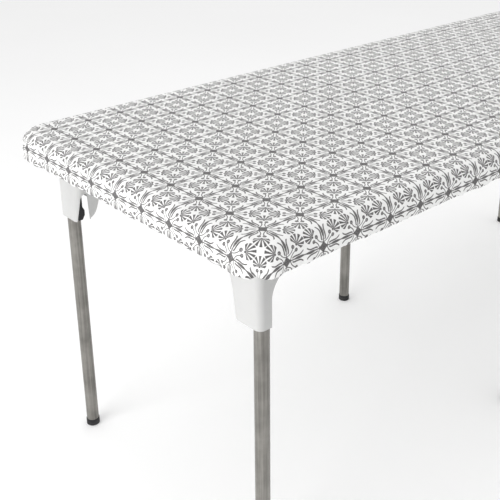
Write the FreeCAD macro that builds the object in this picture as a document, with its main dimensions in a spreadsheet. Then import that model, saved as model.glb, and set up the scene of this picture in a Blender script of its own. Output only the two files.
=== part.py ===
import FreeCAD, Part
import math
import os
import Sketcher

# A folding table with six legs, and a fitted cloth with an elastic hem over its top.
# Frame: origin on the floor under the middle of the top, X along the length, Y across, Z up.

doc = FreeCAD.newDocument("TableclothOnTable")
sheet = doc.addObject("Spreadsheet::Sheet", "Sizes")

SIZES = [
    # the moulded top
    ("table_length", 1829), ("table_width", 762), ("table_height", 737),
    ("edge_depth", 52), ("corner_radius", 64), ("top_round", 22), ("rim_round", 3),
    ("lip_width", 30), ("deck_thickness", 25),
    # shallow panels under the deck: two rows down the middle, a pair at each side strip
    ("panel_depth", 3), ("panel_radius", 12), ("panel_spacing", 275),
    ("panel_half_length", 122), ("panel_row", 75), ("panel_half_width", 60),
    ("side_panel_start", 300), ("side_panel_spacing", 290), ("side_panel_half_length", 130),
    ("side_panel_row", 262), ("side_panel_half_width", 55),
    # the steel rails in the recess
    ("rail_offset", 170), ("rail_length", 1300), ("rail_width", 30), ("rail_height", 20),
    ("rail_wall", 1.5),
    # where the legs stand, measured in from the edges of the top
    ("end_inset", 82), ("side_inset", 78), ("middle_offset", 30),
    # a leg: round tube, pivot height above the floor
    ("pivot_height", 661), ("tube_radius", 14), ("tube_wall", 1.2), ("tube_above_pivot", 10),
    ("cap_radius", 15.2), ("cap_height", 16), ("cap_floor", 4), ("fit_gap", 0.05),
    # a leg bracket, in its own axes: x the way the leg folds, y towards the latch
    ("bracket_bottom", 546), ("bracket_wall", 3), ("bracket_front", 21), ("bracket_back", 75),
    ("bracket_corner", 13), ("bracket_near", 19),
    ("bracket_far_bottom", 50), ("bracket_far_middle", 58), ("bracket_far_top", 94),
    ("bracket_middle_height", 600), ("bracket_flare_height", 625),
    ("flange_thickness", 4), ("flange_length", 62),
    ("cheek_near", 17), ("cheek_wall", 3), ("cheek_bottom", 592), ("cheek_length", 20),
    # pivot pin of a leg
    ("pivot_radius", 4), ("pivot_head_radius", 7), ("pivot_head_thickness", 2.4),
    ("pivot_length", 43), ("pivot_clip_radius", 6.5), ("pivot_clip_thickness", 1.2),
    # latch lever, its pin and its spring
    ("latch_height", 606), ("latch_side", 32), ("latch_middle", -3), ("latch_thickness", 6),
    ("latch_hub_radius", 5), ("latch_neck_width", 11), ("latch_pad_width", 21),
    ("latch_pad_height", 30), ("latch_bottom", 542), ("latch_tip_width", 9),
    ("latch_pin_radius", 2), ("latch_pin_length", 35.1), ("latch_pin_floor", 1.4), ("lug_start", 13), ("lug_wall", 3),
    ("lug_half_height", 12),
    ("spring_radius", 3.3), ("spring_wire", 0.45), ("spring_pitch", 1.3), ("spring_turns", 5),
    # screws
    ("screw_radius", 2.1), ("screw_length", 18), ("screw_head_radius", 4.6),
    ("screw_head_thickness", 2.6), ("rail_screw_spacing", 400),
    # the fitted cloth
    ("cloth_gap", 0.4), ("cloth_thickness", 1.0), ("cloth_return", 38),
    ("hem_width", 9), ("hem_depth", 3.8), ("hem_ply", 0.8),
    ("elastic_width", 6), ("elastic_thickness", 1.2),
]
for row, (alias, number) in enumerate(SIZES, start=1):
    sheet.set("A%d" % row, alias)
    sheet.set("B%d" % row, str(number))
    sheet.setAlias("B%d" % row, alias)
doc.recompute()

PARTS = {}


def size(alias):
    """The value of one cell, for places that are set in code."""
    return float(sheet.get(alias))


def bind(target, path, expression):
    target.setExpression(path, expression.replace("$", "Sizes."))


def keep(part, label):
    part.Label = label
    PARTS[label] = part
    return part


def place(part, centre_x, centre_y, turn=0.0):
    """Put a part at a plan position, turned about Z."""
    part.Placement = FreeCAD.Placement(
        FreeCAD.Vector(0, 0, 0), FreeCAD.Rotation(FreeCAD.Vector(0, 0, 1), turn))
    bind(part, ".Placement.Base.x", centre_x)
    bind(part, ".Placement.Base.y", centre_y)


# ---------------------------------------------------------------- sketch helpers

def new_sketch(body, name, role, offset):
    """An empty sketch on one of the body's own origin planes, moved along its normal."""
    plane = [item for item in body.Origin.OriginFeatures if item.Role == role][0]
    sketch = body.newObject("Sketcher::SketchObject", name)
    sketch.AttachmentSupport = [(plane, "")]
    sketch.MapMode = "FlatFace"
    bind(sketch, "AttachmentOffset.Base.z", offset)
    return sketch


def constrain(sketch, items):
    """Add many constraints in one solve, then bind those that carry an expression."""
    first = sketch.ConstraintCount
    sketch.addConstraint([constraint for constraint, _ in items])
    for step, (_, expression) in enumerate(items):
        if expression:
            bind(sketch, "Constraints[%d]" % (first + step), expression)


def point_ties(geometry, end, spot, across, up):
    """Bound distances from the origin to one end of a line or one centre."""
    return [(Sketcher.Constraint("DistanceX", -1, 1, geometry, end, spot[0]), across),
            (Sketcher.Constraint("DistanceY", -1, 1, geometry, end, spot[1]), up)]


def value(sketch, expression):
    """An expression's number, so that a sketch is drawn where its constraints put it."""
    return float(sketch.evalExpression(expression.replace("$", "Sizes.")))


def polygon(sketch, points):
    """A closed outline of straight lines through bound points."""
    spots = [(value(sketch, across), value(sketch, up)) for across, up in points]
    first = sketch.GeometryCount
    count = len(points)
    lines = [Part.LineSegment(FreeCAD.Vector(*spots[turn], 0),
                              FreeCAD.Vector(*spots[(turn + 1) % count], 0))
             for turn in range(count)]
    sketch.addGeometry(lines)
    items = []
    for turn, (across, up) in enumerate(points):
        after = first + (turn + 1) % count
        items.append((Sketcher.Constraint("Coincident", first + turn, 2, after, 1), None))
        items += point_ties(first + turn, 1, spots[turn], across, up)
    constrain(sketch, items)


def flared_cutter(sketch, reach, low, back, top, curve):
    """Three straight sides and a fair curve that leans back from the bottom to the top."""
    first = sketch.GeometryCount
    spots = [FreeCAD.Vector(across, up, 0) for across, up in curve]
    foot = FreeCAD.Vector(value(sketch, reach), value(sketch, low), 0)
    outer = [FreeCAD.Vector(value(sketch, back), value(sketch, level_of), 0)
             for level_of in (low, top)]
    flare = Part.BSplineCurve()
    flare.interpolate(spots)
    sketch.addGeometry([flare] + [Part.LineSegment(*ends) for ends in (
        (spots[0], foot), (foot, outer[0]), (outer[0], outer[1]), (outer[1], spots[-1]))])
    items = [(Sketcher.Constraint("Block", first), None)]
    items += [(Sketcher.Constraint("Coincident", *joint), None) for joint in (
        (first, 1, first + 1, 1), (first + 1, 2, first + 2, 1), (first + 2, 2, first + 3, 1),
        (first + 3, 2, first + 4, 1), (first + 4, 2, first, 2))]
    items += point_ties(first + 2, 1, (foot.x, foot.y), reach, low)
    items += point_ties(first + 3, 1, (outer[0].x, outer[0].y), back, low)
    items += point_ties(first + 4, 1, (outer[1].x, outer[1].y), back, top)
    constrain(sketch, items)


def circle(sketch, across, up, radius):
    spot = (value(sketch, across), value(sketch, up))
    reach = value(sketch, radius)
    index = sketch.addGeometry(Part.Circle(FreeCAD.Vector(*spot, 0),
                                           FreeCAD.Vector(0, 0, 1), reach))
    constrain(sketch, point_ties(index, 3, spot, across, up)
              + [(Sketcher.Constraint("Radius", index, reach), radius)])


def rounded_rectangle(sketch, left, right, low, high, radius):
    """Four lines and four tangent arcs, the sides at bound distances from the origin."""
    vector = FreeCAD.Vector
    west, east, south, north, curve = [value(sketch, item)
                                       for item in (left, right, low, high, radius)]
    first = sketch.GeometryCount
    corners = ((east - curve, south + curve, 270), (east - curve, north - curve, 0),
               (west + curve, north - curve, 90), (west + curve, south + curve, 180))
    lines = (((west + curve, south), (east - curve, south)),
             ((east, south + curve), (east, north - curve)),
             ((east - curve, north), (west + curve, north)),
             ((west, north - curve), (west, south + curve)))
    shapes = [Part.LineSegment(vector(*start, 0), vector(*end, 0)) for start, end in lines]
    for across, up, start in corners:
        ring_line = Part.Circle(vector(across, up, 0), vector(0, 0, 1), curve)
        shapes.append(Part.ArcOfCircle(ring_line, math.radians(start),
                                       math.radians(start + 90)))
    sketch.addGeometry(shapes)
    items = []
    for side in range(4):
        arc = first + 4 + side
        after = first + (side + 1) % 4
        items.append((Sketcher.Constraint("Tangent", first + side, 2, arc, 1), None))
        items.append((Sketcher.Constraint("Tangent", arc, 2, after, 1), None))
        if side:
            items.append((Sketcher.Constraint("Equal", first + 4, arc), None))
    for side, kind in ((0, "Horizontal"), (1, "Vertical"), (2, "Horizontal"), (3, "Vertical")):
        items.append((Sketcher.Constraint(kind, first + side), None))
    for side, kind, number, expression in (
            (3, "DistanceX", west, left), (1, "DistanceX", east, right),
            (0, "DistanceY", south, low), (2, "DistanceY", north, high)):
        items.append((Sketcher.Constraint(kind, -1, 1, first + side, 1, number), expression))
    items.append((Sketcher.Constraint("Radius", first + 4, curve), radius))
    constrain(sketch, items)


def plan_outline(sketch, inset):
    """The outline of the top, drawn in by an inset (negative grows it)."""
    half_length = "$table_length / 2 - (%s)" % inset
    half_width = "$table_width / 2 - (%s)" % inset
    rounded_rectangle(sketch, "-(%s)" % half_length, half_length,
                      "-(%s)" % half_width, half_width, "$corner_radius - (%s)" % inset)


# --------------------------------------------------------------- feature helpers

def feature(body, kind, name, sketch, length, reverse=False, midplane=False):
    item = body.newObject("PartDesign::" + kind, name)
    item.Profile = sketch
    item.Reversed = reverse
    item.Midplane = midplane
    bind(item, "Length", length)
    sketch.Visibility = False
    return item


def pad(body, name, sketch, length, **options):
    return feature(body, "Pad", name, sketch, length, **options)


def pocket(body, name, sketch, length, **options):
    """A Pocket that has to take material away."""
    doc.recompute()
    before = body.Shape.Volume
    item = feature(body, "Pocket", name, sketch, length, **options)
    doc.recompute()
    if not item.Shape.Volume < before - 1e-6:
        raise RuntimeError("%s of %s cuts nothing" % (name, body.Label))
    return item


def round_edges(body, name, radius, chosen):
    """Fillet the edges of the body's tip that the test picks."""
    doc.recompute()
    base = body.Tip
    names = ["Edge%d" % (index + 1) for index, edge in enumerate(base.Shape.Edges)
             if chosen(edge)]
    item = body.newObject("PartDesign::Fillet", name)
    item.Base = (base, names)
    bind(item, "Radius", radius)
    doc.recompute()
    return item


def level(height):
    """A test for edges that lie in one horizontal plane."""
    def chosen(edge):
        box = edge.BoundBox
        return abs(box.ZMin - height) < 1e-4 and abs(box.ZMax - height) < 1e-4
    return chosen


def body_named(name):
    return doc.addObject("PartDesign::Body", name)


def slab(name, inset, low, thickness):
    """A plate with the outline of the top."""
    body = body_named(name)
    sketch = new_sketch(body, name + "_outline", "XY_Plane", low)
    plan_outline(sketch, inset)
    pad(body, name + "_plate", sketch, thickness)
    return body


def ring(name, outer_inset, inner_inset, low, thickness):
    """A flat ring that runs all round the edge of the top."""
    body = body_named(name)
    sketch = new_sketch(body, name + "_outline", "XY_Plane", low)
    plan_outline(sketch, outer_inset)
    plan_outline(sketch, inner_inset)
    pad(body, name + "_plate", sketch, thickness)
    return body


# ------------------------------------------------------------------ the leg sites

# name, plan position, turn about Z of the bracket's axes, hand of the latch side (+1 or -1)
CORNER_X = "($table_length / 2 - $end_inset)"
SIDE_Y = "($table_width / 2 - $side_inset)"
SITES = [
    ("left_front", "-" + CORNER_X, "-" + SIDE_Y, 0, 1),
    ("left_back", "-" + CORNER_X, SIDE_Y, 0, -1),
    ("right_front", CORNER_X, "-" + SIDE_Y, 180, -1),
    ("right_back", CORNER_X, SIDE_Y, 180, 1),
    ("middle_front", "-$middle_offset", "-" + SIDE_Y, 90, 1),
    ("middle_back", "$middle_offset", SIDE_Y, -90, 1),
]
SCREW_SPOTS = [(-4, 36), (-4, 68), (46, 0), (46, 68)]
RAIL_SCREW_STEPS = (-1.5, -0.5, 0.5, 1.5)
# where a bracket's side walls end, seen from the side: distance behind the tube's axis, height
NEAR_FLARE = [(6.5, 600), (9, 613), (16, 627), (29, 642), (46, 664), (56, 708)]
FAR_FLARE = [(12, 549), (19, 553.5), (25, 563), (30, 582), (34, 605), (41, 645), (53, 708)]
# the slot in the far wall, upwards from the open bottom edge on one side and down on the other
SLOT_TOP = [("4", "602"), ("2", "607"), ("-2", "611"), ("-7", "611"), ("-11", "607"),
            ("-13", "602")]
RIM_BOTTOM = "$table_height - $edge_depth"
DECK_BOTTOM = "$table_height - $deck_thickness"


def site_points(spots):
    """Plan positions of spots given in each bracket's own axes."""
    corner_x = size("table_length") / 2 - size("end_inset")
    side_y = size("table_width") / 2 - size("side_inset")
    centres = {"left": -corner_x, "right": corner_x}
    for name, _, _, turn, hand in SITES:
        column, row = name.split("_")
        centre_y = -side_y if row == "front" else side_y
        middle = math.copysign(size("middle_offset"), centre_y)
        centre_x = centres.get(column, middle)
        cosine, sine = math.cos(math.radians(turn)), math.sin(math.radians(turn))
        for along, across in spots:
            across *= hand
            yield (centre_x + along * cosine - across * sine,
                   centre_y + along * sine + across * cosine)


def rail_screw_points():
    spacing = size("rail_screw_spacing")
    for side in (-1, 1):
        for step in RAIL_SCREW_STEPS:
            yield (step * spacing, side * size("rail_offset"))


# -------------------------------------------------------------------- the tabletop

def recessed_panel(sketch, kind, middle_x, row):
    """One rounded panel; kind picks the sheet's middle or side panel sizes."""
    reach, middle_y, breadth = ["$%spanel_%s" % (kind, word)
                                for word in ("half_length", "row", "half_width")]
    rounded_rectangle(sketch, "%s - %s" % (middle_x, reach), "%s + %s" % (middle_x, reach),
                      "%d * %s - %s" % (row, middle_y, breadth),
                      "%d * %s + %s" % (row, middle_y, breadth), "$panel_radius")


def make_tabletop():
    """Moulded top: crowned edge, a lip all round, a recessed deck with shallow panels."""
    body = slab("tabletop", "0", RIM_BOTTOM, "$edge_depth")
    round_edges(body, "top_rounding", "$top_round", level(size("table_height")))
    rim = size("table_height") - size("edge_depth")
    round_edges(body, "rim_rounding", "$rim_round", level(rim))
    recess = new_sketch(body, "recess_outline", "XY_Plane", RIM_BOTTOM)
    plan_outline(recess, "$lip_width")
    pocket(body, "recess", recess, "$edge_depth - $deck_thickness", reverse=True)
    panels = new_sketch(body, "panel_outlines", "XY_Plane", DECK_BOTTOM)
    for row in (-1, 1):
        for column in range(6):
            recessed_panel(panels, "", "%s * $panel_spacing" % (column - 2.5), row)
        for column in (-1, 1):
            for step in (0, 1):
                middle_x = "%d * ($side_panel_start + %d * $side_panel_spacing)" % (column, step)
                recessed_panel(panels, "side_", middle_x, row)
    pocket(body, "panels", panels, "$panel_depth", reverse=True)
    holes = new_sketch(body, "screw_hole_centres", "XY_Plane", DECK_BOTTOM)
    for across, up in list(site_points(SCREW_SPOTS)) + list(rail_screw_points()):
        circle(holes, str(across), str(up), "$screw_radius + $fit_gap")
    pocket(body, "screw_holes", holes, "$screw_length", reverse=True)
    return keep(body, "tabletop")


def make_rail(label, side):
    """Rectangular steel tube along the recess, drilled for its screws."""
    body = body_named(label)
    section = new_sketch(body, label + "_section", "YZ_Plane", "-$rail_length / 2")
    for shrink in ("0", "$rail_wall"):
        polygon(section, [(across % shrink, up % shrink) for across, up in (
            ("-($rail_width / 2 - %s)", "$table_height - $deck_thickness - $rail_height + %s"),
            ("$rail_width / 2 - %s", "$table_height - $deck_thickness - $rail_height + %s"),
            ("$rail_width / 2 - %s", "$table_height - $deck_thickness - %s"),
            ("-($rail_width / 2 - %s)", "$table_height - $deck_thickness - %s"))])
    pad(body, label + "_tube", section, "$rail_length")
    holes = new_sketch(body, label + "_hole_centres", "XY_Plane",
                       DECK_BOTTOM + " - $rail_height")
    for step in RAIL_SCREW_STEPS:
        circle(holes, "%s * $rail_screw_spacing" % step, "0", "$screw_head_radius + 0.4")
    pocket(body, label + "_access_holes", holes, "$rail_height - 2 * $rail_wall", reverse=True)
    bores = new_sketch(body, label + "_bore_centres", "XY_Plane", DECK_BOTTOM + " - $rail_height")
    for step in RAIL_SCREW_STEPS:
        circle(bores, "%s * $rail_screw_spacing" % step, "0", "$screw_radius + $fit_gap")
    pocket(body, label + "_bores", bores, "$rail_height", reverse=True)
    place(body, "0", "%s * $rail_offset" % side)
    return keep(body, label)


# --------------------------------------------------------------------- the brackets

def plan_section(body, name, height, far, wall, hand):
    """One level of the bracket: its outside (wall 0) or its inside."""
    sketch = new_sketch(body, name, "XY_Plane", height)
    near, away = "($bracket_near - %s)" % wall, "(%s - %s)" % (far, wall)
    low, high = ("-" + near, away) if hand > 0 else ("-" + away, near)
    rounded_rectangle(sketch, "-($bracket_front - %s)" % wall, "$bracket_back + 2 * %s" % wall,
                      low, high, "$bracket_corner - %s" % wall)
    return sketch


def loft(body, kind, name, sections):
    item = body.newObject("PartDesign::" + kind, name)
    item.Profile = sections[0]
    item.Sections = sections[1:]
    item.Ruled = True
    doc.recompute()
    return item


def make_bracket(name, centre_x, centre_y, turn, hand):
    """Knee housing: end wall wrapped round the tube, two side walls, flange, cheek and lug."""
    label = "bracket_" + name
    body = body_named(label)
    levels = (("$bracket_bottom", "$bracket_far_bottom"),
              ("$bracket_middle_height", "$bracket_far_middle"),
              ("$bracket_flare_height", "($bracket_far_middle + 6)"),
              (DECK_BOTTOM, "$bracket_far_top"))
    outside = [plan_section(body, "%s_outside_%d" % (label, step), height, far, "0", hand)
               for step, (height, far) in enumerate(levels)]
    loft(body, "AdditiveLoft", label + "_housing", outside)
    inner_levels = (("$bracket_bottom - 1", levels[0][1]), levels[1], levels[2],
                    (DECK_BOTTOM + " - $flange_thickness", levels[3][1]))
    inside = [plan_section(body, "%s_inside_%d" % (label, step), height, far,
                           "$bracket_wall", hand)
              for step, (height, far) in enumerate(inner_levels)]
    loft(body, "SubtractiveLoft", label + "_hollow", inside)

    # each side wall ends in a curved flare: one cutter on each side of the leg
    deck = DECK_BOTTOM + " - $flange_thickness"
    low_edge = "$bracket_bottom - 2"
    for side, reach, curve in (("near", 6.5, NEAR_FLARE), ("far", 12, FAR_FLARE)):
        sketch = new_sketch(body, "%s_%s_trim" % (label, side), "XZ_Plane", "0")
        flared_cutter(sketch, str(reach), low_edge, "$bracket_back + 5", deck, curve)
        # the sketch looks along -Y, so a Pocket from it runs towards +Y
        towards_plus_y = (side == "far") == (hand > 0)
        pocket(body, "%s_%s_flare" % (label, side), sketch, "$bracket_far_top + 5",
               reverse=not towards_plus_y)
    flange_cut = new_sketch(body, label + "_flange_end", "XY_Plane", deck + " - 1")
    edge = "$bracket_far_top + 6"
    low, high = "-$bracket_near - 4", edge
    if hand < 0:
        low, high = "-(%s)" % edge, "$bracket_near + 4"
    polygon(flange_cut, [("$flange_length", low), ("$bracket_back + 6", low),
                         ("$bracket_back + 6", high), ("$flange_length", high)])
    pocket(body, label + "_flange_trim", flange_cut, "$flange_thickness + 2", reverse=True)

    # slot that the latch swings through, in the far wall
    slot = new_sketch(body, label + "_slot_outline", "XZ_Plane", "0")
    polygon(slot, [("-18", low_edge), ("11", low_edge)] + SLOT_TOP)
    pocket(body, label + "_slot", slot, "$bracket_far_top", reverse=hand < 0)

    # cheek beside the tube, and the lug that holds the back end of the latch pin
    cheek = new_sketch(body, label + "_cheek_outline", "XZ_Plane", "%d * $cheek_near" % -hand)
    polygon(cheek, [("-$bracket_front + 1", "$cheek_bottom"), ("$cheek_length", "$cheek_bottom"),
                    ("$cheek_length", deck + " + 1"), ("-$bracket_front + 1", deck + " + 1")])
    pad(body, label + "_cheek", cheek, "$cheek_wall", reverse=hand > 0)
    lug = new_sketch(body, label + "_lug_outline", "YZ_Plane", "$lug_start")
    near, away = "$cheek_near + 1", "$bracket_far_middle - 3"
    sides = (near, away) if hand > 0 else ("-(%s)" % away, "-(%s)" % near)
    polygon(lug, [(sides[0], "$latch_height - $lug_half_height"),
                  (sides[1], "$latch_height - $lug_half_height"),
                  (sides[1], "$latch_height + $lug_half_height"),
                  (sides[0], "$latch_height + $lug_half_height")])
    pad(body, label + "_lug", lug, "$lug_wall")

    # bores: leg pivot across, latch pin along, four screws up through the flange
    bore = new_sketch(body, label + "_pivot_centre", "XZ_Plane", "0")
    circle(bore, "0", "$pivot_height", "$pivot_radius + $fit_gap")
    pocket(body, label + "_pivot_bore", bore, "2 * ($bracket_near + 8)", midplane=True)
    # the latch pin goes in from behind the lug and ends blind in the end wall
    pin_bore = new_sketch(body, label + "_latch_centre", "YZ_Plane",
                          "-$bracket_front + $latch_pin_floor")
    circle(pin_bore, "%d * $latch_side" % hand, "$latch_height", "$latch_pin_radius + $fit_gap")
    pocket(body, label + "_latch_bore", pin_bore,
           "$lug_start + $lug_wall + $bracket_front - $latch_pin_floor + 1", reverse=True)
    screws = new_sketch(body, label + "_screw_centres", "XY_Plane", deck + " - 1")
    for along, across in SCREW_SPOTS:
        circle(screws, str(along), str(hand * across), "$screw_radius + $fit_gap")
    pocket(body, label + "_screw_bores", screws, "$flange_thickness + 2", reverse=True)
    place(body, centre_x, centre_y, turn)
    return keep(body, label)


# ------------------------------------------------------------------------- the legs

def make_leg(name, centre_x, centre_y, turn):
    """Round steel tube, cross-bored for its pivot pin, and the cap on its foot."""
    label = "leg_tube_" + name
    body = body_named(label)
    section = new_sketch(body, label + "_section", "XY_Plane", "$cap_floor")
    circle(section, "0", "0", "$tube_radius")
    circle(section, "0", "0", "$tube_radius - $tube_wall")
    pad(body, label + "_tube", section, "$pivot_height + $tube_above_pivot - $cap_floor")
    bore = new_sketch(body, label + "_bore_centre", "XZ_Plane", "0")
    circle(bore, "0", "$pivot_height", "$pivot_radius + $fit_gap")
    pocket(body, label + "_bore", bore, "2 * $tube_radius + 2", midplane=True)
    place(body, centre_x, centre_y, turn)
    keep(body, label)

    label = "foot_cap_" + name
    body = body_named(label)
    profile = new_sketch(body, label + "_profile", "XZ_Plane", "0")
    polygon(profile, [("0", "0"), ("$cap_radius - 1.5", "0"), ("$cap_radius", "1.5"),
                      ("$cap_radius", "$cap_height - 1"), ("$cap_radius - 0.6", "$cap_height"),
                      ("$tube_radius + $fit_gap", "$cap_height"),
                      ("$tube_radius + $fit_gap", "$cap_floor"), ("0", "$cap_floor")])
    turned = body.newObject("PartDesign::Revolution", label + "_cup")
    turned.Profile = profile
    turned.ReferenceAxis = (profile, ["V_Axis"])
    turned.Angle = 360
    place(body, centre_x, centre_y, turn)
    keep(body, label)


def turned_pin(name, outline):
    """A pin turned about its own Z axis from half its outline (radius, height)."""
    body = body_named(name)
    profile = new_sketch(body, name + "_profile", "XZ_Plane", "0")
    polygon(profile, outline)
    turned = body.newObject("PartDesign::Revolution", name + "_turned")
    turned.Profile = profile
    turned.ReferenceAxis = (profile, ["V_Axis"])
    turned.Angle = 360
    return body


def local_frame(site, along, across, height, axis):
    """Placement of a pin whose own Z points along an axis given in the site's axes."""
    name, _, _, turn, hand = site
    centre = list(site_points([(along, across)]))[SITES.index(site)]
    turned = FreeCAD.Rotation(FreeCAD.Vector(0, 0, 1), turn)
    direction = turned.multVec(FreeCAD.Vector(axis[0], axis[1] * hand, axis[2]))
    spin = FreeCAD.Rotation(FreeCAD.Vector(0, 0, 1), direction)
    return FreeCAD.Placement(FreeCAD.Vector(centre[0], centre[1], height), spin)


def make_pivot_pins():
    """One headed pin per leg, with its push-on clip, through the near wall and the cheek."""
    pins = []
    for site in SITES:
        pin = turned_pin("pivot_pin_" + site[0], [
            ("0", "-$pivot_head_thickness"),
            ("$pivot_head_radius - 1", "-$pivot_head_thickness"),
            ("$pivot_head_radius", "-$pivot_head_thickness + 1"), ("$pivot_head_radius", "0"),
            ("$pivot_radius", "0"),
            ("$pivot_radius", "$pivot_length - $pivot_clip_thickness - 1.6"),
            ("$pivot_clip_radius", "$pivot_length - $pivot_clip_thickness - 1.6"),
            ("$pivot_clip_radius", "$pivot_length - 1.6"), ("$pivot_radius", "$pivot_length - 1.6"),
            ("$pivot_radius", "$pivot_length - 0.6"), ("$pivot_radius - 0.6", "$pivot_length"),
            ("0", "$pivot_length")])
        pin.Placement = local_frame(site, 0, -size("bracket_near") - size("fit_gap"),
                                    size("pivot_height"), (0, 1, 0))
        pins.append(pin)
    group = doc.addObject("Part::Compound", "leg_pivot_pins")
    group.Links = pins
    return keep(group, "leg_pivot_pins")


# ---------------------------------------------------------------------- the latches

def make_latch(name, centre_x, centre_y, turn, hand):
    """Lever that hangs from its pin: hub, neck and a wide thumb pad with a narrow tip."""
    label = "latch_lever_" + name
    body = body_named(label)
    # the sketch plane's normal is -Y, so the offset has the other sign
    outline = new_sketch(body, label + "_outline", "XZ_Plane", "%d * $latch_side" % -hand)
    neck, wide, tip = "$latch_neck_width / 2", "$latch_pad_width / 2", "$latch_tip_width / 2"
    half = [(neck, "$latch_height"), (neck, "$latch_bottom + $latch_pad_height"),
            (wide, "$latch_bottom + $latch_pad_height - 9"), (wide, "$latch_bottom + 10"),
            (tip, "$latch_bottom")]
    right = [("$latch_middle + " + across, up) for across, up in half]
    left = [("$latch_middle - " + across, up) for across, up in reversed(half)]
    polygon(outline, right + left)
    pad(body, label + "_blade", outline, "$latch_thickness", midplane=True)
    hub = new_sketch(body, label + "_hub_section", "YZ_Plane",
                     "$latch_middle - $latch_neck_width / 2")
    circle(hub, "%d * $latch_side" % hand, "$latch_height", "$latch_hub_radius")
    pad(body, label + "_hub", hub, "$latch_neck_width")
    bore = new_sketch(body, label + "_bore_centre", "YZ_Plane",
                      "$latch_middle - $latch_neck_width / 2 - 1")
    circle(bore, "%d * $latch_side" % hand, "$latch_height", "$latch_pin_radius + $fit_gap")
    pocket(body, label + "_bore", bore, "$latch_neck_width + 2", reverse=True)
    pad_edges = size("latch_thickness") / 2

    def on_pad_face(edge):
        """Long edges of both broad faces, below the hub."""
        box = edge.BoundBox
        side = abs(abs((box.YMin + box.YMax) / 2 - hand * size("latch_side")) - pad_edges)
        return (side < 1e-4 and box.YLength < 1e-4
                and box.ZMax < size("latch_height") - size("latch_hub_radius") - 2)

    round_edges(body, label + "_soft_edges", "1", on_pad_face)
    place(body, centre_x, centre_y, turn)
    return keep(body, label)


def make_latch_pins():
    """One headed pin per lever, pushed in from behind the lug."""
    pins = []
    for site in SITES:
        pin = turned_pin("latch_pin_" + site[0], [
            ("0", "-1.2"), ("$latch_pin_radius + 1.2", "-1.2"),
            ("$latch_pin_radius + 1.8", "0"), ("$latch_pin_radius", "0"),
            ("$latch_pin_radius", "$latch_pin_length - 0.5"),
            ("$latch_pin_radius - 0.5", "$latch_pin_length"), ("0", "$latch_pin_length")])
        behind_lug = size("lug_start") + size("lug_wall") + size("fit_gap")
        pin.Placement = local_frame(site, behind_lug, size("latch_side"),
                                    size("latch_height"), (-1, 0, 0))
        pins.append(pin)
    group = doc.addObject("Part::Compound", "latch_pins")
    group.Links = pins
    return keep(group, "latch_pins")


def make_latch_springs():
    """A coil round each latch pin, between the lever's hub and the lug."""
    start = size("latch_middle") + size("latch_neck_width") / 2 + 1.2
    coils = []
    for site in SITES:
        helix = Part.makeHelix(size("spring_pitch"), size("spring_pitch") * size("spring_turns"),
                               size("spring_radius"))
        section = Part.Wire(Part.makeCircle(
            size("spring_wire"), FreeCAD.Vector(size("spring_radius"), 0, 0),
            FreeCAD.Vector(0, 1, 0)))
        coil = Part.Wire(helix).makePipeShell([section], True, True)
        coil.Placement = local_frame(site, start, size("latch_side"), size("latch_height"),
                                     (1, 0, 0))
        coils.append(coil)
    group = doc.addObject("Part::Feature", "latch_springs")
    group.Shape = Part.makeCompound(coils)
    return keep(group, "latch_springs")


def make_screws():
    """Pan-head screws, driven up into the deck: four in each flange, four in each rail."""
    pieces = []

    def screw(across, up, under_head):
        for kind, radius, length, low in (
                ("shank", "screw_radius", "$screw_length", under_head),
                ("head", "screw_head_radius", "$screw_head_thickness",
                 "%s - $screw_head_thickness" % under_head)):
            piece = doc.addObject("Part::Cylinder", "screw_" + kind)
            bind(piece, "Radius", "$" + radius)
            bind(piece, "Height", length)
            piece.Placement.Base = FreeCAD.Vector(across, up, 0)
            bind(piece, ".Placement.Base.z", low)
            pieces.append(piece)

    for across, up in site_points(SCREW_SPOTS):
        screw(across, up, DECK_BOTTOM + " - $flange_thickness")
    for across, up in rail_screw_points():
        screw(across, up, DECK_BOTTOM + " - $rail_wall")
    group = doc.addObject("Part::MultiFuse", "mounting_screws")
    group.Shapes = pieces
    return keep(group, "mounting_screws")


# ------------------------------------------------------------------------ the cloth

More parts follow.
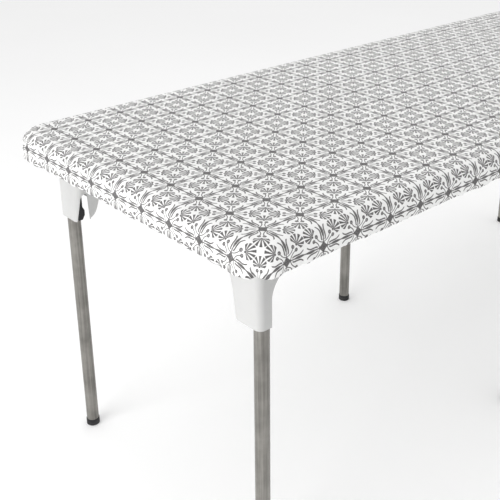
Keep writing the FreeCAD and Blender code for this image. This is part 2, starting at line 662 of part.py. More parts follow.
def make_cloth():
    """Fitted sheet over the top, down the edge, back under the lip, with a folded hem."""
    outer_skin = "-($cloth_gap + $cloth_thickness)"
    inner_skin = "-$cloth_gap"
    bottom = "(%s - $cloth_gap - $cloth_thickness)" % RIM_BOTTOM
    outside = slab("cloth_outside", outer_skin, bottom,
                   "$edge_depth + 2 * ($cloth_gap + $cloth_thickness)")
    skin = size("cloth_gap") + size("cloth_thickness")
    round_edges(outside, "cloth_top_rounding", "$top_round + $cloth_gap + $cloth_thickness",
                level(size("table_height") + skin))
    round_edges(outside, "cloth_rim_rounding", "$rim_round + $cloth_gap + $cloth_thickness",
                level(size("table_height") - size("edge_depth") - skin))
    inside = slab("cloth_inside", inner_skin, "(%s - $cloth_gap)" % RIM_BOTTOM,
                  "$edge_depth + 2 * $cloth_gap")
    round_edges(inside, "lining_top_rounding", "$top_round + $cloth_gap",
                level(size("table_height") + size("cloth_gap")))
    round_edges(inside, "lining_rim_rounding", "$rim_round + $cloth_gap",
                level(size("table_height") - size("edge_depth") - size("cloth_gap")))
    opening = slab("cloth_opening", "$cloth_return", bottom + " - 1", "$cloth_thickness + 2")
    shell = doc.addObject("Part::Cut", "cloth_shell")
    shell.Base, shell.Tool = outside, inside
    skirt = doc.addObject("Part::Cut", "cloth_skirt")
    skirt.Base, skirt.Tool = shell, opening
    # the hem turns down and back outwards round the elastic
    inner_edge = "$cloth_return - $hem_ply"
    fold = ring("hem_fold", inner_edge, "$cloth_return", bottom + " - $hem_depth + 1",
                "$hem_depth - 0.5")
    under = ring("hem_underside", "$cloth_return - $hem_width", "$cloth_return",
                 bottom + " - $hem_depth + 1", "$hem_ply")
    cloth = doc.addObject("Part::MultiFuse", "tablecloth")
    cloth.Shapes = [skirt, fold, under]
    keep(cloth, "tablecloth")
    elastic = ring("hem_elastic", "$cloth_return - $hem_ply - 0.4 - $elastic_width",
                   "$cloth_return - $hem_ply - 0.4",
                   bottom + " - $hem_depth + 1 + $hem_ply + 0.4", "$elastic_thickness")
    return keep(elastic, "hem_elastic")


# ----------------------------------------------------------------------- build it all

make_tabletop()
make_rail("rail_front", -1)
make_rail("rail_back", 1)
for site in SITES:
    make_bracket(*site)
for site in SITES:
    make_leg(*site[:4])
make_pivot_pins()
for site in SITES:
    make_latch(*site)
make_latch_pins()
make_latch_springs()
make_screws()
make_cloth()
doc.recompute()

for item in doc.Objects:
    if "Invalid" in item.State or "Error" in item.State:
        raise RuntimeError("%s did not build: %s" % (item.Label, item.State))

os.makedirs("parts", exist_ok=True)
for label, part in PARTS.items():
    shape = part.Shape
    if shape.isNull() or not shape.isValid() or not shape.Solids:
        raise RuntimeError("%s has no valid solid" % label)
    shape.exportStep(os.path.join("parts", label + ".step"))
    box = shape.BoundBox
    print("%-26s solids %2d  volume %10.1f  x %8.1f..%8.1f  y %7.1f..%7.1f  z %7.1f..%7.1f" % (
        label, len(shape.Solids), shape.Volume, box.XMin, box.XMax, box.YMin, box.YMax,
        box.ZMin, box.ZMax))
print("%d sub-parts" % len(PARTS))
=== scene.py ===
import math

import bpy
import numpy as np
from mathutils import Matrix, Vector


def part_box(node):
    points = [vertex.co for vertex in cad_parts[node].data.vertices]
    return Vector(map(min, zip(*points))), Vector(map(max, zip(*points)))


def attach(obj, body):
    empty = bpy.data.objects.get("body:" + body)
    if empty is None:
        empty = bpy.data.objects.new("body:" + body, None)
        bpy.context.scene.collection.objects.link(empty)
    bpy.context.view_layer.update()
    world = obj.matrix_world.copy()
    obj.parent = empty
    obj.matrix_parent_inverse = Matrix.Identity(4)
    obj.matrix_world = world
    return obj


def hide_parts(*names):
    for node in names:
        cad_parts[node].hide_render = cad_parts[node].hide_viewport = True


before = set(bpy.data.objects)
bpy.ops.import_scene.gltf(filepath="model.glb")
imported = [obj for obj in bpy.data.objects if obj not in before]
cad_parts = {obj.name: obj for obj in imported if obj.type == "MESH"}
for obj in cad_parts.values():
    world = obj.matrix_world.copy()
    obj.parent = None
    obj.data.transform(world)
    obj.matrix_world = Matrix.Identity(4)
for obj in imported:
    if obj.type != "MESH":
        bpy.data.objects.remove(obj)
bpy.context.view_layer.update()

# A six-legged folding table under a fitted, printed cloth with a gathered elastic hem.
# Metres; X along the table, Y across, Z up, floor at z = 0.

scene = bpy.context.scene

# ------------------------------------------------------------------ sizes of the cloth
top_low, top_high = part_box("tabletop")
HALF_LENGTH, HALF_WIDTH, TOP = top_high[0], top_high[1], top_high[2]
RIM = top_low[2]
CORNER = 0.064            # plan radius of the top's corners
TOP_ROUND = 0.022         # rounding along the top edge
RIM_ROUND = 0.003         # rounding along the lower edge
STANDOFF = 0.0009         # middle of the cloth above the plastic
THICKNESS = 0.0008
LIP_RUN = 0.0334          # flat run back under the lip
HEM_TURN = 0.00145        # radius of the turn at the hem
HEM_RUN = 0.0074          # folded hem past its turn
HEM_REACH = CORNER - RIM_ROUND - LIP_RUN
HEM_LEVEL = RIM - STANDOFF - 2 * HEM_TURN
PITCH = 0.0805            # one cell of the print
PRINT_START = (-0.8515, -0.3285)
CORE_STEP = 0.0115        # mesh step on the flat core, about
SPLIT = 3                 # fine columns for each core step; build_cloth relies on three
FAN = 30                  # columns round each corner

# how far the gathers stand off, and how far they spread along the hem
PLEAT_DEPTH = 0.0036      # deep pleats near the hem
FINE_DEPTH = 0.0015       # fine puckers between them
SOFT_DEPTH = 0.0018       # soft swells higher up
CHEEK_DEPTH = 0.0027      # the two cheeks beside each corner's crease
LEAN_SHIFT = 0.020        # how far pleats wander sideways
CORNER_GATHER = 0.085     # how far from a corner the gathers stay strong
TOP_WAVE = 0.00022        # the waves on the flat top

# the elastic inside the hem, and the stitches under it
BAND_LIFT = 0.0008        # band above the hem's lower layer
BAND_START, BAND_END = 0.0003, 0.0062
BAND_THICKNESS = 0.0012
STITCH_REACH = 0.0060
STITCH_GAP = 0.0001       # thread below the cloth's skin

FLOOR_REACH = 40


# ------------------------------------------------------------- seeded, smooth 1-D noise
class Wave:
    """A closed noise along the hem: smooth random heights at uneven steps."""

    def __init__(self, seed, length, spacing):
        rng = np.random.default_rng(seed)
        self.length = length
        count = max(4, int(round(length / spacing)))
        jitter = rng.uniform(-0.33, 0.33, count)
        self.spots = (np.arange(count) + jitter) * length / count
        self.heights = rng.uniform(0.0, 1.0, count)

    def __call__(self, along):
        along = np.mod(along, self.length)
        spots = np.concatenate([self.spots[-1:] - self.length, self.spots,
                                self.spots[:1] + self.length])
        heights = np.concatenate([self.heights[-1:], self.heights, self.heights[:1]])
        right = np.clip(np.searchsorted(spots, along, side="right"), 1, len(spots) - 1)
        share = (along - spots[right - 1]) / (spots[right] - spots[right - 1])
        share = np.clip(share, 0, 1)
        share = share * share * (3 - 2 * share)
        return heights[right - 1] * (1 - share) + heights[right] * share


# ------------------------------------------------------------------ the cloth's profile
def profile():
    """Stations from the core outwards: flat distance, reach, height, normal (out, up)."""
    rows = []
    flat = 0.0

    def line(start, end, normal, count):
        nonlocal flat
        run = math.dist(start, end)
        for step in range(1, count + 1):
            share = step / count
            rows.append((flat + run * share, start[0] + (end[0] - start[0]) * share,
                         start[1] + (end[1] - start[1]) * share, *normal))
        flat += run

    def arc(centre, radius, first, last, count, fixed=None):
        nonlocal flat
        for step in range(1, count + 1):
            turn = math.radians(first + (last - first) * step / count)
            out, up = math.cos(turn), math.sin(turn)
            rows.append((flat + radius * abs(math.radians(last - first)) * step / count,
                         centre[0] + radius * out, centre[1] + radius * up,
                         *(fixed or (out, up))))
        flat += radius * abs(math.radians(last - first))

    face = TOP + STANDOFF
    side = CORNER + STANDOFF
    shoulder = CORNER - TOP_ROUND
    under = RIM - STANDOFF
    line((0, face), (shoulder, face), (0, 1), count=3)
    arc((shoulder, TOP - TOP_ROUND), TOP_ROUND + STANDOFF, 90, 0, count=8)
    line((side, TOP - TOP_ROUND), (side, RIM + RIM_ROUND), (1, 0), count=6)
    arc((CORNER - RIM_ROUND, RIM + RIM_ROUND), RIM_ROUND + STANDOFF, 0, -90, count=3)
    line((CORNER - RIM_ROUND, under), (HEM_REACH, under), (0, -1), count=6)
    arc((HEM_REACH, under - HEM_TURN), HEM_TURN, 90, 270, count=4, fixed=(0, -1))
    line((HEM_REACH, HEM_LEVEL), (HEM_REACH + HEM_RUN, HEM_LEVEL), (0, -1), count=1)
    return rows


ROWS = profile()
DROP = ROWS[-1][0]
EDGE_START = CORNER - TOP_ROUND
EDGE_END = [row[0] for row in ROWS if row[3:] == (0, -1)][0]


def columns():
    """Round the cloth anticlockwise: base point on the core, normal, travelled length."""
    core_x, core_y = HALF_LENGTH - CORNER, HALF_WIDTH - CORNER
    across = int(round(2 * core_x / CORE_STEP))
    up = int(round(2 * core_y / CORE_STEP))
    corners = [(core_x, -core_y), (core_x, core_y), (-core_x, core_y), (-core_x, -core_y)]
    spans = [(up, (1, 0)), (across, (0, 1)), (up, (-1, 0)), (across, (0, -1))]
    listed, travelled = [], 0.0
    for index, (count, normal) in enumerate(spans):
        start, end = corners[index], corners[(index + 1) % 4]
        run = math.dist(start, end)
        for step in range(count * SPLIT):
            share = step / (count * SPLIT)
            spot = (start[0] + (end[0] - start[0]) * share,
                    start[1] + (end[1] - start[1]) * share)
            listed.append((spot, normal, travelled + run * share, 0.0))
        travelled += run
        heading = math.atan2(normal[1], normal[0])
        for step in range(FAN):
            turn = math.pi / 2 * step / FAN
            listed.append((end, (math.cos(heading + turn), math.sin(heading + turn)),
                           travelled + CORNER * turn, step / FAN))
        travelled += CORNER * math.pi / 2
    return listed, travelled, across, up


COLUMNS, PERIMETER, ACROSS, UP = columns()
along = np.array([column[2] for column in COLUMNS])
fan = np.array([column[3] for column in COLUMNS])
# how near each column is to the middle of a corner
nearest_corner = np.zeros(len(COLUMNS))
corner_spots = along[(fan > 0.49) & (fan < 0.51)]
for spot in corner_spots:
    gap = np.abs(along - spot)
    gap = np.minimum(gap, PERIMETER - gap)
    nearest_corner = np.maximum(nearest_corner, np.exp(-(gap / CORNER_GATHER) ** 2))

COARSE = Wave(seed=11, length=PERIMETER, spacing=0.034)
MIDDLE = Wave(seed=23, length=PERIMETER, spacing=0.0150)
FINE = Wave(seed=37, length=PERIMETER, spacing=0.0085)
LEAN = Wave(seed=41, length=PERIMETER, spacing=0.090)
STRENGTH = Wave(seed=53, length=PERIMETER, spacing=0.120)


def puckers(flat):
    """How far the cloth stands off at one flat distance, all round."""
    into_edge = min(max((flat - EDGE_START) / (EDGE_END - EDGE_START), 0.0), 1.0)
    if into_edge <= 0:
        return np.zeros(len(COLUMNS))
    shifted = along + (LEAN(along) - 0.5) * LEAN_SHIFT * into_edge
    # the elastic only gathers the lower part: deep pleats fade upwards over the edge
    low = into_edge ** 2.6
    high = into_edge ** 1.3 * (1 - 0.35 * into_edge)
    amount = 0.45 + 0.75 * STRENGTH(along) + 0.95 * nearest_corner
    pleat = MIDDLE(shifted) ** 1.7 * PLEAT_DEPTH + FINE(shifted) ** 2 * FINE_DEPTH
    soft = COARSE(shifted) * SOFT_DEPTH
    depth = amount * (pleat * low + soft * high)
    # two cheeks with a crease between them, where each corner is drawn together
    cheeks = np.exp(-((fan - 0.36) / 0.10) ** 2) + np.exp(-((fan - 0.64) / 0.10) ** 2)
    depth += np.where(fan > 0, cheeks, 0) * CHEEK_DEPTH * into_edge ** 1.4
    crease = np.where(fan > 0, np.exp(-((fan - 0.5) / 0.045) ** 2), 0)
    return depth * (1 - crease * min(1.0, into_edge * 1.6))


def top_wave(x, y):
    """The sheet lies almost flat: faint long waves, never below the plastic."""
    return TOP_WAVE * (1 + math.sin(5.1 * x + 2.3 * y + 0.6) * math.cos(6.7 * y - 1.9 * x))


# ------------------------------------------------------------------ building the cloth
def make_piece(name, spots, faces):
    """A smooth-shaded object from its points and faces."""
    mesh = bpy.data.meshes.new(name)
    mesh.from_pydata(spots, [], faces)
    mesh.update()
    mesh.validate()
    for polygon in mesh.polygons:
        polygon.use_smooth = True
    piece = bpy.data.objects.new(name, mesh)
    scene.collection.objects.link(piece)
    return piece


def build_cloth():
    """The sheet: a flat core of quads, then rows outwards over the edge to the hem."""
    core_x, core_y = HALF_LENGTH - CORNER, HALF_WIDTH - CORNER
    spots, flats, faces = [], [], []

    def core_index(i, j):
        return j * (ACROSS + 1) + i

    for j in range(UP + 1):
        for i in range(ACROSS + 1):
            x = -core_x + 2 * core_x * i / ACROSS
            y = -core_y + 2 * core_y * j / UP
            spots.append((x, y, TOP + STANDOFF + top_wave(x, y)))
            flats.append((x, y))
    for j in range(UP):
        for i in range(ACROSS):
            faces.append((core_index(i, j), core_index(i + 1, j),
                          core_index(i + 1, j + 1), core_index(i, j + 1)))
    first = len(spots)
    count = len(COLUMNS)
    for flat, reach, height, out, rise in ROWS:
        stand = puckers(flat)
        fade = max(0.0, 1 - flat / EDGE_START)
        for index, ((base_x, base_y), (nx, ny), _, _) in enumerate(COLUMNS):
            away = reach + out * stand[index]
            x, y = base_x + nx * away, base_y + ny * away
            spots.append((x, y, height + rise * stand[index] + fade * top_wave(x, y)))
            flats.append((base_x + nx * flat, base_y + ny * flat))
    # the core's border, in the same order as the columns
    border = [core_index(ACROSS, j) for j in range(UP)]
    border += [core_index(ACROSS - i, UP) for i in range(ACROSS)]
    border += [core_index(0, UP - j) for j in range(UP)]
    border += [core_index(i, 0) for i in range(ACROSS)]
    ends = [UP, UP + ACROSS, 2 * UP + ACROSS, 2 * (UP + ACROSS)]
    column = 0
    for step, corner in enumerate(border):
        after = border[(step + 1) % len(border)]
        ring = [first + (column + k) % count for k in range(SPLIT + 1)]
        faces.append((corner, ring[0], ring[1]))
        faces.append((corner, ring[1], ring[2], after))
        faces.append((after, ring[2], ring[3]))
        column += SPLIT
        if step + 1 in ends:
            for k in range(FAN):
                faces.append((after, first + (column + k) % count,
                              first + (column + k + 1) % count))
            column += FAN
    for row in range(len(ROWS) - 1):
        low, high = first + row * count, first + (row + 1) * count
        for k in range(count):
            m = (k + 1) % count
            faces.append((low + k, high + k, high + m, low + m))
    piece = make_piece("fitted_cloth", spots, faces)
    layer = piece.data.uv_layers.new(name="print")
    for loop in piece.data.loops:
        x, y = flats[loop.vertex_index]
        layer.data[loop.index].uv = ((x - PRINT_START[0]) / PITCH,
                                     (y - PRINT_START[1]) / PITCH)
    return piece


def build_band(name, stations, flat):
    """A closed band that follows the hem all round, from a loop of (reach, height)."""
    stand = puckers(flat)
    count, turns = len(COLUMNS), len(stations)
    spots, faces = [], []
    for index, ((base_x, base_y), (nx, ny), _, _) in enumerate(COLUMNS):
        for reach, height in stations:
            spots.append((base_x + nx * reach, base_y + ny * reach, height - stand[index]))
    for k in range(count):
        for side in range(turns):
            here, there = k * turns, (k + 1) % count * turns
            follow = (side + 1) % turns
            faces.append((here + side, there + side, there + follow, here + follow))
    return make_piece(name, spots, faces)


def build_stitches(name, reach, height, flat):
    """Short lockstitches along the hem: five-sided threads that sink in at their ends."""
    stand = puckers(flat)
    spots, faces = [], []
    sides, rings = 5, 4
    length, radius, pitch = 0.0031, 0.00026, 0.0042
    end_width, end_dip = 0.6, 0.00022
    order = np.argsort(along, kind="stable")
    count = int(PERIMETER / pitch)

    def spot_at(distance):
        place = np.searchsorted(along[order], distance % PERIMETER, side="right") - 1
        here = order[place]
        there = order[(place + 1) % len(order)]
        run = (along[there] - along[here]) % PERIMETER
        share = ((distance - along[here]) % PERIMETER) / run
        ends = []
        for item in (here, there):
            (base_x, base_y), (nx, ny) = COLUMNS[item][:2]
            ends.append(np.array([base_x + nx * reach, base_y + ny * reach,
                                  height - stand[item]]))
        return ends[0] * (1 - share) + ends[1] * share

    for stitch in range(count):
        start = stitch * PERIMETER / count
        line = [spot_at(start + length * step / (rings - 1)) for step in range(rings)]
        tangent = line[-1] - line[0]
        tangent = tangent / np.linalg.norm(tangent)
        side = np.cross(tangent, (0, 0, 1.0))
        base = len(spots)
        for step, centre in enumerate(line):
            at_end = step in (0, rings - 1)
            thin = end_width if at_end else 1.0
            dip = end_dip if at_end else 0.0
            for k in range(sides):
                turn = 2 * math.pi * k / sides
                offset = side * math.cos(turn) + np.array((0, 0, 1.0)) * math.sin(turn)
                spots.append(tuple(centre + offset * radius * thin + (0, 0, dip)))
        for step in range(rings - 1):
            for k in range(sides):
                m = (k + 1) % sides
                a, b = base + step * sides, base + (step + 1) * sides
                faces.append((a + k, a + m, b + m, b + k))
        faces.append(tuple(base + k for k in reversed(range(sides))))
        faces.append(tuple(base + (rings - 1) * sides + k for k in range(sides)))
    return make_piece(name, spots, faces)


# ------------------------------------------------------------- node helpers for materials
class Field:
    """A number that varies over a surface, built up from Math nodes."""

    def __init__(self, tree, socket):
        self.tree, self.socket = tree, socket

    def math(self, kind, *others):
        node = self.tree.nodes.new("ShaderNodeMath")
        node.operation = kind
        for index, item in enumerate((self,) + others):
            if isinstance(item, Field):
                self.tree.links.new(item.socket, node.inputs[index])
            else:
                node.inputs[index].default_value = item
        return Field(self.tree, node.outputs[0])

    def __add__(self, other):
        return self.math("ADD", other)

    def __sub__(self, other):
        return self.math("SUBTRACT", other)

    def __mul__(self, other):
        return self.math("MULTIPLY", other)

    def __truediv__(self, other):
        return self.math("DIVIDE", other)

    def __neg__(self):
        return self.math("MULTIPLY", -1.0)

    def abs(self):
        return self.math("ABSOLUTE")

    def low(self, other):
        return self.math("MINIMUM", other)

    def high(self, other):
        return self.math("MAXIMUM", other)

    def ramp(self, start, end, first=0.0, last=1.0):
        node = self.tree.nodes.new("ShaderNodeMapRange")
        node.interpolation_type = "SMOOTHSTEP"
        self.tree.links.new(self.socket, node.inputs["Value"])
        for label, number in (("From Min", start), ("From Max", end),
                              ("To Min", first), ("To Max", last)):
            node.inputs[label].default_value = number
        return Field(self.tree, node.outputs["Result"])


def length_of(x, y):
    """How far two fields together are from zero."""
    return (x * x + y * y).math("SQRT")


class Material:
    """A Principled material with object-space noise at hand."""

    def __init__(self, name, **numbers):
        self.material = bpy.data.materials.new(name)
        self.material.use_nodes = True
        self.tree = self.material.node_tree
        self.shader = self.tree.nodes["Principled BSDF"]
        for label, number in numbers.items():
            self.shader.inputs[label.replace("_", " ")].default_value = number
        self.place = self.tree.nodes.new("ShaderNodeTexCoord").outputs["Object"]

    def noise(self, scale, detail=3.0, rough=0.5, stretch=None):
        source = self.place
        if stretch:
            node = self.tree.nodes.new("ShaderNodeMapping")
            node.inputs["Scale"].default_value = stretch
            self.tree.links.new(source, node.inputs["Vector"])
            source = node.outputs["Vector"]
        node = self.tree.nodes.new("ShaderNodeTexNoise")
        node.inputs["Scale"].default_value = scale
        node.inputs["Detail"].default_value = detail
        node.inputs["Roughness"].default_value = rough
        self.tree.links.new(source, node.inputs["Vector"])
        return Field(self.tree, node.outputs["Fac"])

    def mix(self, share, first, second):
        node = self.tree.nodes.new("ShaderNodeMix")
        node.data_type = "RGBA"
        self.tree.links.new(share.socket, node.inputs["Factor"])
        for label, colour in (("A", first), ("B", second)):
            socket = [item for item in node.inputs
                      if item.name == label and item.type == "RGBA"][0]
            if isinstance(colour, tuple):
                socket.default_value = (*colour, 1)
            else:
                self.tree.links.new(colour, socket)
        return [item for item in node.outputs if item.type == "RGBA"][0]

    def colour(self, socket):
        self.tree.links.new(socket, self.shader.inputs["Base Color"])

    def roughness(self, field):
        self.tree.links.new(field.socket, self.shader.inputs["Roughness"])

    def bump(self, field, distance, strength=1.0):
        node = self.tree.nodes.new("ShaderNodeBump")
        node.inputs["Distance"].default_value = distance
        node.inputs["Strength"].default_value = strength
        self.tree.links.new(field.socket, node.inputs["Height"])
        self.tree.links.new(node.outputs["Normal"], self.shader.inputs["Normal"])


# ------------------------------------------------------------------ the printed pattern
def ornament(tree, u, v):
    """A plain leaf-and-fan lattice: above 0 where ink goes, in cells of the print."""
    a = ((u + 0.5).math("FRACT") - 0.5).abs()
    b = ((v + 0.5).math("FRACT") - 0.5).abs()
    far, near = a.high(b), a.low(b)

    # a four-pointed star with hollow sides on each crossing
    hollow, star_slope, star_size = 0.72, 0.30, 0.262
    star = -(a.math("POWER", hollow) + b.math("POWER", hollow)) * star_slope \
        + star_slope * star_size
    # a stem, then a slim leaf along each arm
    stem_width, leaf_middle, leaf_length, leaf_width = 0.0135, 0.345, 0.175, 0.031
    stem = (-near + stem_width).low(-far + 0.5)
    along_leaf = (far - leaf_middle) / leaf_length
    leaf = -near + (-(along_leaf * along_leaf) + 1.0) * leaf_width
    # the sheath on both sides of the leaf, which flares into two tips
    flare_start, flare_width, root_end, root_width = 0.34, 0.100, 0.22, 0.16
    sheath_gap, sheath_width, sheath_middle, sheath_reach = 0.056, 0.0165, 0.305, 0.150
    flare = ((far - flare_start).high(0.0) * 6.4).math("POWER", 1.7) * flare_width
    root = ((-far + root_end).high(0.0) * 5.0).math("POWER", 2.0) * root_width
    sheath = -(near - flare + root - sheath_gap).abs() + sheath_width
    sheath = sheath.low(-(far - sheath_middle).abs() + sheath_reach)
    # a fan of petals on each diagonal
    fan_root, spread, widest, diagonal = 0.285, 0.46, 1.61, 0.70711
    petal_length, petal_droop, petal_tip, petal_root = 0.226, 0.034, 0.0225, 0.0085
    hub_size, petal_start = 0.026, 0.030
    fan_x, fan_y = far - fan_root, near - fan_root
    forward = (fan_x + fan_y) * diagonal
    sideways = ((fan_x - fan_y) * diagonal).abs()
    radius = length_of(forward, sideways)
    angle = sideways.math("ARCTAN2", forward)
    cell = ((angle / spread + 0.5).math("FRACT") - 0.5) * spread
    off = (cell.math("SINE") * radius).abs()
    reach = -(angle * angle) * petal_droop + petal_length
    along_petal = radius / reach
    body = along_petal * along_petal * petal_tip + petal_root
    petal = (-off + body).low((reach - radius) * 0.8).low(radius - petal_start)
    petal = petal.low(-angle + widest)
    hub = -radius + hub_size
    # two thin vines per quarter, mirrored about the diagonal
    vine_x, vine_y, vine_radius, vine_width = 0.315, 0.020, 0.208, 0.0100
    vine_middle, vine_half, vine_end = 0.125, 0.112, 0.30

    def vine(p, q):
        curve = -(length_of(p - vine_x, q + vine_y) - vine_radius).abs() + vine_width
        return curve.low(-(q - vine_middle).abs() + vine_half).low(-p + vine_end)

    # a small scroll at the foot of each fan
    scroll_x, scroll_y, scroll_radius, scroll_width = 0.262, 0.184, 0.027, 0.0125
    scroll = -(length_of(far - scroll_x, near - scroll_y) - scroll_radius).abs() \
        + scroll_width
    ink = star
    for item in (stem, leaf, sheath, petal, hub, vine(far, near), vine(near, far), scroll):
        ink = ink.high(item)
    return ink


def cloth_material():
    """Woven cloth with printed ink: the weave and wear show in tone, gloss and bump."""
    made = Material("printed_cloth", Sheen_Weight=0.08, Sheen_Roughness=0.45,
                    Coat_Weight=0.05, Coat_Roughness=0.38, Specular_IOR_Level=0.30)
    tree = made.tree
    node = tree.nodes.new("ShaderNodeUVMap")
    node.uv_map = "print"
    parts = tree.nodes.new("ShaderNodeSeparateXYZ")
    tree.links.new(node.outputs["UV"], parts.inputs["Vector"])
    u, v = Field(tree, parts.outputs["X"]), Field(tree, parts.outputs["Y"])
    edge = made.noise(900, 2, 0.6)
    ink = ornament(tree, u, v) + (edge - 0.5) * 0.006
    ink_edge = 0.0042
    covered = ink.ramp(-ink_edge, ink_edge)
    worn = made.noise(420, 3, 0.65)
    cloud = made.noise(7, 4, 0.55)
    thread_turns = 2 * math.pi * 105      # 105 threads each way in a cell
    weave = (u * thread_turns).math("SINE") * (v * thread_turns).math("SINE")
    strength = covered * worn.ramp(0.25, 0.62, 0.84, 1.0)
    ground = made.mix(cloud.ramp(0.35, 0.65), (0.862, 0.858, 0.850),
                      (0.905, 0.902, 0.896))
    dye = made.mix(weave * 0.5 + 0.5, (0.066, 0.062, 0.063), (0.090, 0.085, 0.086))
    made.colour(made.mix(strength, ground, dye))
    grain = weave * 0.5 + (worn - 0.5) * 1.2 + covered * 0.25
    made.roughness((covered * -0.05 + 0.63) + (cloud - 0.5) * 0.10)
    made.bump(grain, 0.00016, 0.75)
    return made.material


def elastic_material():
    made = Material("elastic", Roughness=0.8, Sheen_Weight=0.3)
    ribs = made.noise(900, 2, 0.5, (1, 1, 0.1))
    made.colour(made.mix(ribs.ramp(0.35, 0.65), (0.66, 0.65, 0.63), (0.82, 0.81, 0.79)))
    made.bump(ribs, 0.0003)
    return made.material


def thread_material():
    made = Material("thread", Roughness=0.6, Sheen_Weight=0.2)
    twist = made.noise(1800, 1, 0.5)
    made.colour(made.mix(twist, (0.58, 0.57, 0.56), (0.80, 0.79, 0.78)))
    made.bump(twist, 0.0001)
    return made.material


def plastic_material(name, low, high, grain, rough):
    """Moulded plastic: pebbled skin, faint flow marks, scuffed sheen."""
    made = Material(name, Subsurface_Weight=0.06, Subsurface_Radius=(0.004, 0.004, 0.003),
                    Specular_IOR_Level=0.45)
    pebble = made.noise(grain, 2, 0.55)
    flow = made.noise(9, 3, 0.5, (1, 1, 0.35))
    scuff = made.noise(60, 5, 0.7)
    made.colour(made.mix((flow * 0.75 + scuff * 0.25).ramp(0.3, 0.7), low, high))
    made.roughness(flow * 0.10 + scuff * 0.10 + (rough - 0.10))
    made.bump(pebble + scuff * 0.3, 0.00022, 0.8)
    return made.material


def tube_material():
    """Satin coated steel: fine lengthwise drawing lines and soft blotches."""
    made = Material("leg_steel", Metallic=0.82, Anisotropic=0.45)
    lines = made.noise(260, 3, 0.6, (1, 1, 0.02))
    blotch = made.noise(14, 4, 0.6)
    made.colour(made.mix((lines * 0.5 + blotch * 0.5).ramp(0.3, 0.7),
                         (0.14, 0.134, 0.124), (0.32, 0.309, 0.286)))
    made.roughness(lines * 0.16 + blotch * 0.08 + 0.20)
    made.bump(lines, 0.00006, 0.6)
    return made.material


def metal_material(name, low, high, rough, grain=140):
    """Plated steel, with crystal-like tone and handling marks."""
    made = Material(name, Metallic=0.95)
    spangle = made.noise(grain, 2, 0.5)
    marks = made.noise(grain * 3, 4, 0.7)
    made.colour(made.mix(spangle.ramp(0.3, 0.7), low, high))
    made.roughness(marks * 0.22 + (rough - 0.10))
    made.bump(marks, 0.00005, 0.5)
    return made.material


def rubber_material(name, low, high, rough):
    """Dark rubber or matt plastic, with a fine grain and a little dust."""
    made = Material(name, Specular_IOR_Level=0.38)
    grain = made.noise(700, 3, 0.6)
    dust = made.noise(45, 4, 0.6)
    made.colour(made.mix(dust.ramp(0.4, 0.75), low, high))
    made.roughness(dust * 0.16 + (rough - 0.06))
    made.bump(grain, 0.00018, 0.8)
    return made.material


FINISHES = {
    "tabletop": plastic_material("moulded_top", (0.70, 0.70, 0.69), (0.77, 0.77, 0.765),
                                 620, 0.52),
    "bracket": plastic_material("bracket_plastic", (0.475, 0.475, 0.47),
                                (0.53, 0.53, 0.525), 850, 0.42),
    "leg_tube": tube_material(),
    "foot_cap": rubber_material("cap_rubber", (0.012, 0.012, 0.013), (0.035, 0.034, 0.034),
                                0.62),
    "latch_lever": rubber_material("latch_plastic", (0.014, 0.014, 0.016),
                                   (0.030, 0.030, 0.032), 0.44),
    "rail": metal_material("rail_steel", (0.50, 0.51, 0.52), (0.66, 0.67, 0.68), 0.42),
    "leg_pivot_pins": metal_material("pin_steel", (0.55, 0.55, 0.55), (0.72, 0.72, 0.71),
                                     0.30, 400),
    "latch_springs": metal_material("spring_steel", (0.34, 0.34, 0.35), (0.52, 0.52, 0.52),
                                    0.34, 500),
    "mounting_screws": metal_material("screw_steel", (0.55, 0.54, 0.50), (0.72, 0.70, 0.66),
                                      0.34, 400),
}
FINISHES["latch_pins"] = FINISHES["leg_pivot_pins"]

for name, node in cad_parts.items():
    if name in ("tablecloth", "hem_elastic"):
        continue
    finish = [FINISHES[key] for key in FINISHES if name.startswith(key)][0]
    if not node.material_slots:
        node.data.materials.append(None)
    for holder in node.material_slots:
        holder.link = "OBJECT"
        holder.material = finish

# ------------------------------------------------------------------ the soft pieces
cloth = build_cloth()
cloth.data.materials.append(cloth_material())
solid = cloth.modifiers.new("thickness", "SOLIDIFY")
solid.thickness = THICKNESS
solid.offset = 0

band_low = HEM_LEVEL + BAND_LIFT
band_high = band_low + BAND_THICKNESS
elastic = build_band("hem_band", [
    (HEM_REACH + BAND_START, band_low), (HEM_REACH + BAND_END, band_low),
    (HEM_REACH + BAND_END, band_high), (HEM_REACH + BAND_START, band_high)], DROP)
elastic.data.materials.append(elastic_material())

stitches = build_stitches("hem_stitching", HEM_REACH + STITCH_REACH,
                          HEM_LEVEL - THICKNESS / 2 - STITCH_GAP, DROP)
stitches.data.materials.append(thread_material())

for piece, slot in ((cloth, "printed_cloth"), (elastic, "elastic"),
                    (stitches, "printed_cloth")):
    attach(piece, "table")
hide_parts("tablecloth")
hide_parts("hem_elastic")

flat_width = 2 * (HALF_WIDTH - CORNER + DROP)
flat_length = 2 * (HALF_LENGTH - CORNER + DROP)
flat_width * flat_length - (4 - math.pi) * DROP ** 2

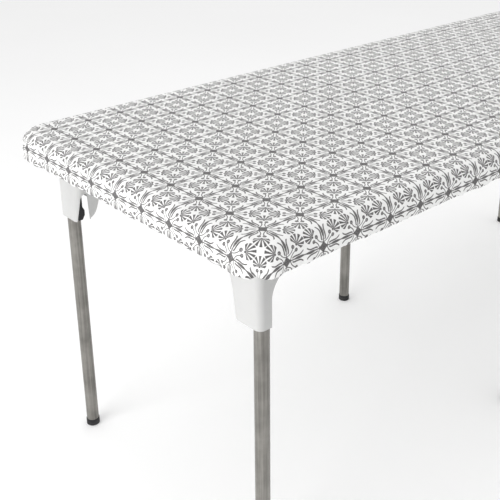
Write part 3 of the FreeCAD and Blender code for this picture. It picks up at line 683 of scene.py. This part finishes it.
# ------------------------------------------------------------------ floor, light, camera
floor_mesh = bpy.data.meshes.new("floor")
floor_mesh.from_pydata([(-FLOOR_REACH, -FLOOR_REACH, 0), (FLOOR_REACH, -FLOOR_REACH, 0),
                        (FLOOR_REACH, FLOOR_REACH, 0), (-FLOOR_REACH, FLOOR_REACH, 0)],
                       [], [(0, 1, 2, 3)])
floor = bpy.data.objects.new("floor", floor_mesh)
scene.collection.objects.link(floor)
floor_finish = Material("floor_paint", Roughness=0.9, Emission_Color=(1, 1, 1, 1),
                        Emission_Strength=0.10)
floor_tone = floor_finish.noise(1.2, 2)
floor_finish.colour(floor_finish.mix(floor_tone, (0.90, 0.90, 0.90), (0.93, 0.93, 0.93)))
floor_mesh.materials.append(floor_finish.material)

world = bpy.data.worlds.new("studio")
world.use_nodes = True
sky = world.node_tree.nodes["Background"].inputs
sky["Color"].default_value = (1, 1, 1, 1)
sky["Strength"].default_value = 0.82
scene.world = world
scene.view_settings.view_transform = "Standard"


def softbox(name, place, target, size, power):
    """A rectangular lamp at a place, turned to face its target."""
    lamp = bpy.data.lights.new(name, "AREA")
    lamp.shape = "RECTANGLE"
    lamp.size, lamp.size_y = size
    lamp.energy = power
    holder = bpy.data.objects.new(name, lamp)
    holder.location = place
    away = Vector(target) - Vector(place)
    holder.rotation_euler = away.to_track_quat("-Z", "Y").to_euler()
    scene.collection.objects.link(holder)


softbox("key", place=(-3.3, -0.1, 1.25), target=(-0.9, 0, 0.70), size=(2.2, 1.4),
        power=46)
softbox("overhead", place=(0.4, 0.6, 3.2), target=(0.2, 0, 0.7), size=(3.0, 2.0),
        power=16)

camera_data = bpy.data.cameras.new("camera")
camera_data.sensor_width = 36
camera_data.lens = 64.64
camera_data.shift_x, camera_data.shift_y = -0.02, -0.14
camera = bpy.data.objects.new("camera", camera_data)
forward = Vector((0.61148, 0.69206, -0.38358)).normalized()
right = Vector((0.74755, -0.66418, -0.00663))
right = (right - forward * right.dot(forward)).normalized()
above = right.cross(forward)
turned = Matrix((right, above, -forward)).transposed().to_4x4()
turned.translation = Vector((-1.6931, -1.2754, 1.3480))
camera.matrix_world = turned
scene.collection.objects.link(camera)
scene.camera = camera
